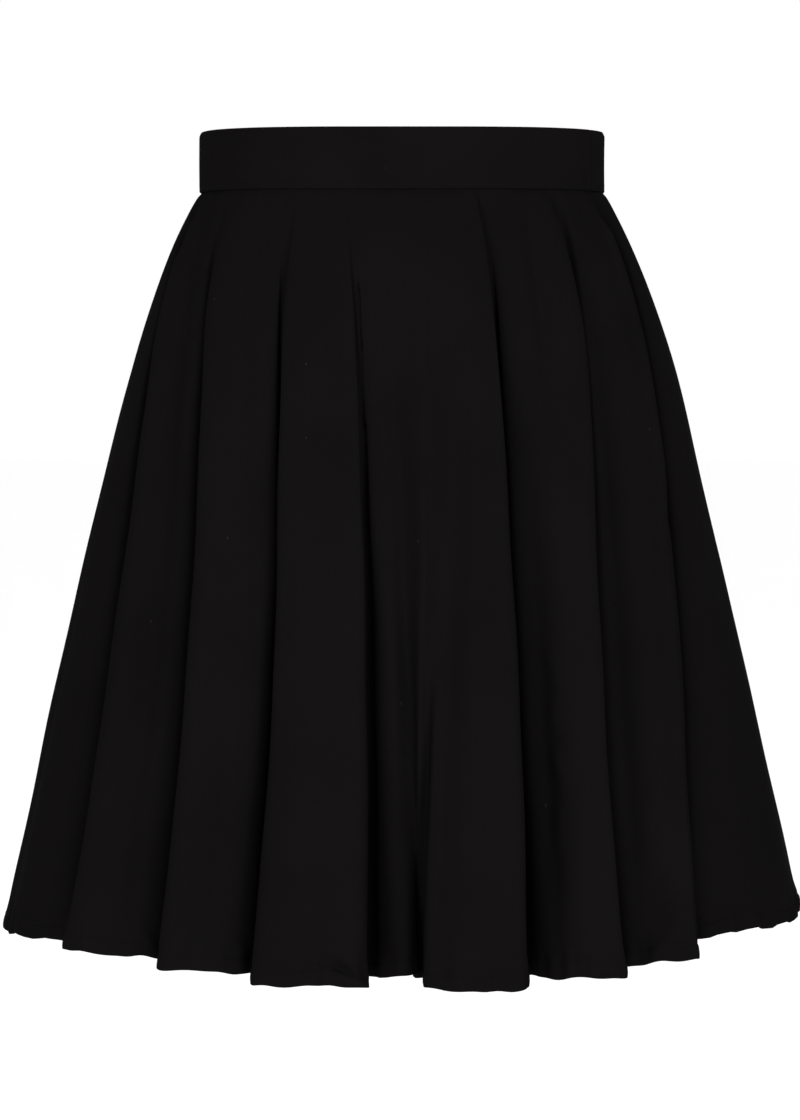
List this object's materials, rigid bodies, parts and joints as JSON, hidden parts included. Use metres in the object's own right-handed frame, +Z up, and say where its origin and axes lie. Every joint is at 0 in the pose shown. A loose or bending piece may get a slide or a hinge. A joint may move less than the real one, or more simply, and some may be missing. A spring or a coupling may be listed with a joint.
{
  "type": "circle skirt",
  "caption": "Black circle skirt filled out as worn, with a plain fitted waistband, deep soft flared folds and a concealed zip at the centre back.",
  "frame": {"origin": "centre of the waistband's ring, halfway up the band", "axes": "+Z up out of the waist, -Y towards the front, +X towards the wearer's left"},
  "size_m": [0.5102, 0.4259, 0.5176],
  "materials": {
    "cloth": "matte black twill",
    "zip_tape": "matte black woven tape",
    "zip_metal": "black lacquer, satin"
  },
  "bodies": {
    "skirt": {"waistband_front": "cloth", "waistband_back_left": "cloth", "waistband_back_right": "cloth", "skirt_front": "cloth", "skirt_back_left": "cloth", "skirt_back_right": "cloth", "zip_tape": "zip_tape", "zip_slider": "zip_metal"},
    "zip_pull": {"zip_pull": "zip_metal"}
  },
  "joints": [
    {"name": "pull_tab_hinge", "type": "hinge", "parent": "skirt", "child": "zip_pull", "pos_m": [0, 0.0981, 0.0118], "axis": [1, 0, 0], "range_deg": [0, 160]}
  ]
}
